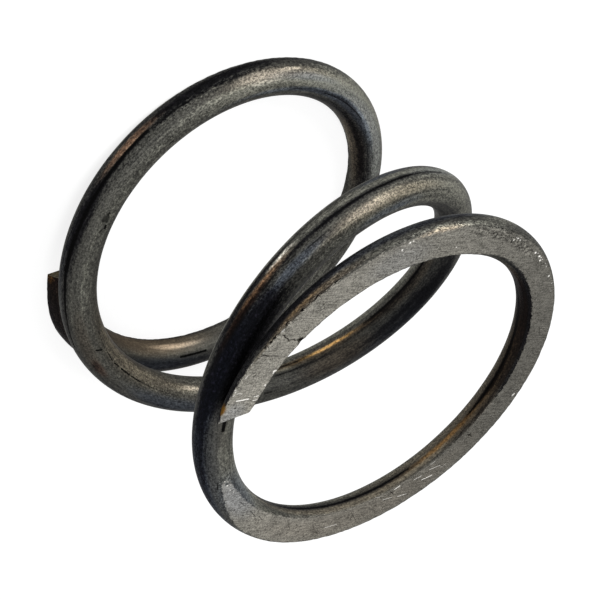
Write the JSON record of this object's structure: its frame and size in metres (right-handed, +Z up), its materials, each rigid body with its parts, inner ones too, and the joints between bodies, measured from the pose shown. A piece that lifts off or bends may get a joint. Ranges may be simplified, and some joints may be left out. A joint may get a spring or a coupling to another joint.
{
  "type": "valve spring",
  "caption": "Short right-handed compression spring of heavy round steel wire, closed and ground flat at both ends, with a wide open pitch between.",
  "frame": {"origin": "under the middle of the outline, on the ground bottom end that the spring stands on", "axes": "+Z up, square to both ground ends; the bottom end of the wire starts near +X, and the wire climbs counterclockwise seen from above"},
  "size_m": [0.0516, 0.0534, 0.038],
  "materials": {
    "spring_steel": "dark oxidised spring wire with faint heat tints, and bare ground ends with fine scratches"
  },
  "bodies": {
    "root": {"valve_spring": "spring_steel"}
  },
  "joints": []
}
